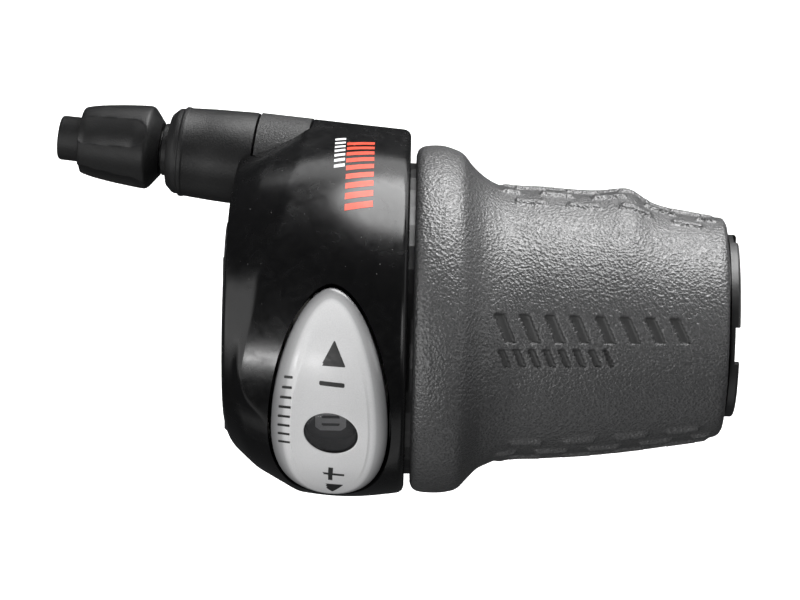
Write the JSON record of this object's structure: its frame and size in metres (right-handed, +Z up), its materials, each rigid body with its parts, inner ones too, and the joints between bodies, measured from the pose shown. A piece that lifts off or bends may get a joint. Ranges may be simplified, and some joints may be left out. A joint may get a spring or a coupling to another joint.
{
  "type": "bicycle twist grip shifter",
  "caption": "Rotating handlebar shifter for a geared hub: glossy clamp housing with indicator window, rubber twist grip and barrel cable adjuster.",
  "frame": {"origin": "on the handlebar's axis, 0.6 mm inboard of the bracket's inboard face", "axes": "+X along the handlebar towards the grip's free end, +Y forward as ridden, +Z up as ridden"},
  "size_m": [0.0977, 0.0554, 0.0515],
  "materials": {
    "gloss_housing": "polished black moulding with clear gloss",
    "satin_plastic": "satin moulded black",
    "bracket_plastic": "satin glass-filled moulding, stippled at the socket",
    "outlet_plastic": "smooth satin moulding",
    "matt_plastic": "matt moulded black",
    "grip_rubber": "leather-grained elastomer",
    "silver_plate": "silver lacquer with a soft sheen",
    "clear_window": "clear polished acrylic",
    "dial_black": "matt black with pale figures",
    "dark_steel": "blackened steel",
    "spring_steel": "bright spring steel",
    "white_nylon": "natural acetal"
  },
  "bodies": {
    "bracket": {"base_bracket": "bracket_plastic", "bar_sleeve": "satin_plastic", "clamp_bolt": "dark_steel", "clamp_nut": "dark_steel", "housing_cover": "gloss_housing", "cover_screw_1": "dark_steel", "cover_screw_2": "dark_steel", "cover_screw_3": "dark_steel", "indicator_plate": "silver_plate", "indicator_window": "clear_window", "access_plug": "satin_plastic", "outlet_tube": "outlet_plastic", "click_spring": "spring_steel", "cable_guide": "white_nylon", "thrust_washer": "white_nylon", "detent_spring": "spring_steel", "spring_screw": "dark_steel"},
    "grip": {"grip_core": "satin_plastic", "grip_rubber": "grip_rubber", "winding_drum": "white_nylon", "index_ring": "spring_steel", "indicator_dial": "dial_black"},
    "collar": {"click_collar": "matt_plastic"},
    "barrel": {"adjusting_barrel": "matt_plastic"}
  },
  "joints": [
    {"name": "grip_twist", "type": "hinge", "parent": "bracket", "child": "grip", "pos_m": [0, 0, 0], "axis": [-1, 0, 0], "range_deg": [0, 112], "deforming": ["detent_spring"]},
    {"name": "barrel_turn", "type": "hinge", "parent": "bracket", "child": "collar", "pos_m": [0, 0.0227, -0.004], "axis": [-0.9919, 0.0932, -0.0868], "range_deg": [-95, 1445]},
    {"name": "barrel_travel", "type": "slide", "parent": "collar", "child": "barrel", "axis": [-0.9919, 0.0932, -0.0868], "range_m": [-0.0002, 0.0032]}
  ],
  "couplings": [
    {"joint": "barrel_turn", "follows": "barrel_travel", "rad_per_m": 7854}
  ]
}
